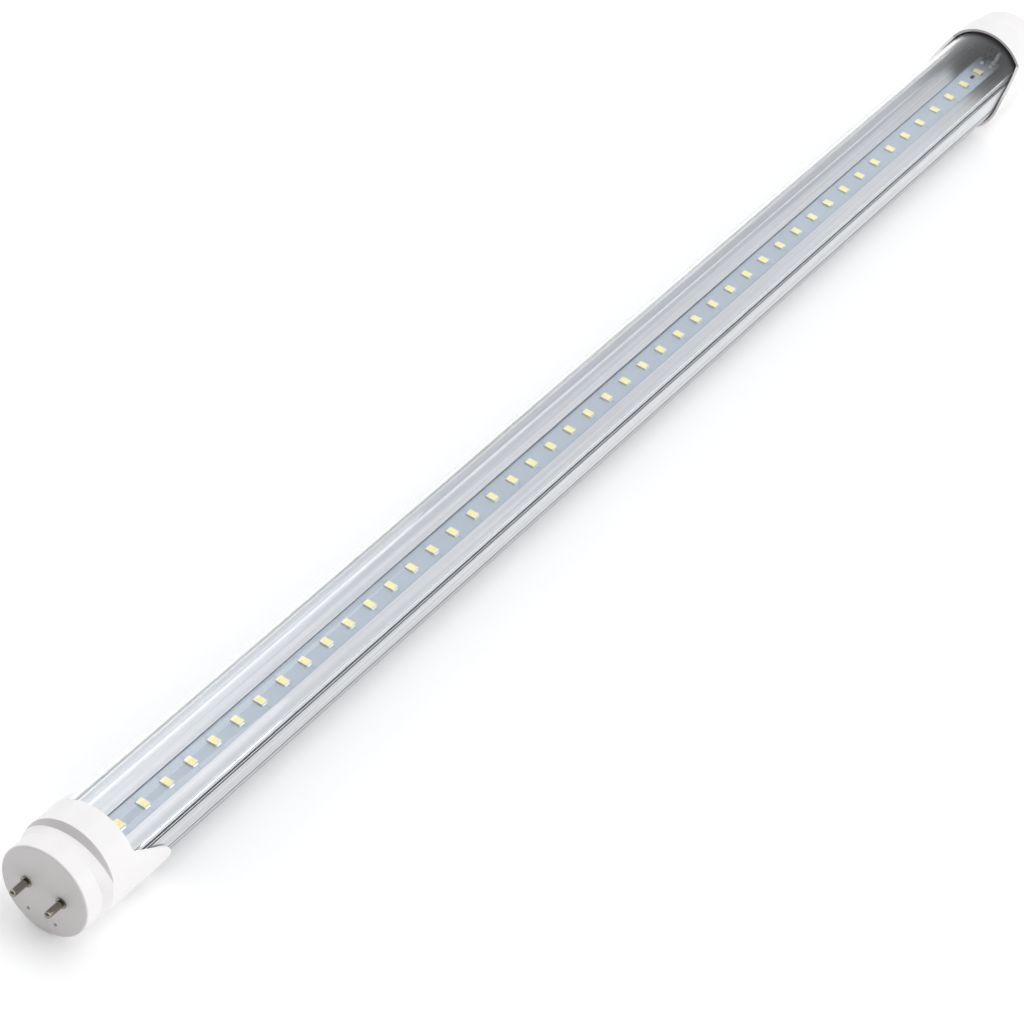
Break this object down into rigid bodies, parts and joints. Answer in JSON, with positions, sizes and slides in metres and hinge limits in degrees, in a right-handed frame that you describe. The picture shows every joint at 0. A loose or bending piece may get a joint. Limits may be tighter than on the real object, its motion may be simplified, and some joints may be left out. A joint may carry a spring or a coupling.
{
  "type": "led light tube",
  "caption": "Two-foot LED tube lamp: clear cover over a row of LEDs on a ribbed aluminium heatsink, with white bi-pin end caps.",
  "frame": {"origin": "on the axis of the round tube, midway between the two pin faces, which is also the centre of the bounding box", "axes": "+X runs along the tube to the end that holds the driver, +Z is the way the light leaves, square to the LED board, and +Y is across the tube"},
  "size_m": [0.602, 0.0336, 0.0336],
  "materials": {
    "heatsink_aluminium": "satin clear-anodised extrusion",
    "clear_polycarbonate": "clear gloss polycarbonate",
    "cap_plastic": "white satin moulded plastic",
    "pin_nickel": "nickel-plated brass, satin",
    "seal_rubber": "black silicone rubber",
    "screw_steel": "zinc-plated steel",
    "board_mask": "white solder mask on an aluminium-core board",
    "thermal_pad": "grey thermal tape",
    "led_package": "white LED package",
    "led_phosphor": "pale yellow phosphor in clear silicone",
    "chip_black": "black moulded component",
    "solder": "bright solder",
    "driver_laminate": "tan paper-phenolic board",
    "insulation_film": "white insulating sleeve",
    "capacitor_sleeve": "dark shrink sleeve on an aluminium can",
    "film_capacitor_case": "dipped brown-red case",
    "ferrite": "dark grey ferrite",
    "bobbin_plastic": "black phenolic bobbin",
    "copper_winding": "enamelled copper wire",
    "fuse_body": "green fusible resistor coating",
    "wire_white": "white wire insulation",
    "wire_black": "black wire insulation",
    "wire_brown": "brown wire insulation",
    "wire_blue": "blue wire insulation"
  },
  "bodies": {
    "root": {"ac_wire_live": "wire_brown", "ac_wire_neutral": "wire_blue", "board_resistor": "chip_black", "board_solder": "solder", "bridge_rectifier": "chip_black", "cap_screws_far": "screw_steel", "cap_screws_near": "screw_steel", "choke_core": "ferrite", "choke_winding": "copper_winding", "clear_cover": "clear_polycarbonate", "contact_pin_far_left": "pin_nickel", "contact_pin_far_right": "pin_nickel", "contact_pin_near_left": "pin_nickel", "contact_pin_near_right": "pin_nickel", "dc_wire_negative": "wire_black", "dc_wire_positive": "wire_white", "driver_board": "driver_laminate", "driver_chips": "chip_black", "driver_controller": "chip_black", "driver_fuse": "fuse_body", "driver_sleeve": "insulation_film", "driver_solder": "solder", "end_cap_far": "cap_plastic", "end_cap_near": "cap_plastic", "end_seal_far": "seal_rubber", "end_seal_near": "seal_rubber", "film_capacitor": "film_capacitor_case", "heatsink_profile": "heatsink_aluminium", "input_capacitor": "capacitor_sleeve", "led_board": "board_mask", "led_packages": "led_package", "led_phosphors": "led_phosphor", "near_link_fuse": "fuse_body", "output_capacitor": "capacitor_sleeve", "output_diode": "chip_black", "thermal_tape": "thermal_pad", "transformer_bobbin": "bobbin_plastic", "transformer_core": "ferrite", "transformer_winding": "copper_winding"}
  },
  "joints": []
}
